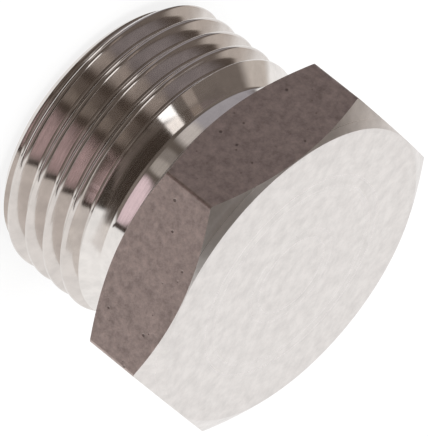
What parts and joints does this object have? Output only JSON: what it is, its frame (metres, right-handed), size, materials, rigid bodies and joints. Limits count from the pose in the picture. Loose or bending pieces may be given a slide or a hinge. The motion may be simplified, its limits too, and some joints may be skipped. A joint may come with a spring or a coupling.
{
  "type": "hex head pipe plug",
  "caption": "Solid hexagon head plug with a parallel pipe thread and a relief groove, turned from one bar of stainless steel.",
  "frame": {"origin": "centre of the flat thread end, which the plug stands on", "axes": "+Z along the plug's axis from the thread end to the head, +X through one corner of the hexagon"},
  "size_m": [0.0218, 0.0188, 0.0144],
  "materials": {
    "stainless_steel": "drawn hexagon bar on the flats, fine turned face, neck and thread"
  },
  "bodies": {
    "root": {"plug_body": "stainless_steel"}
  },
  "joints": []
}
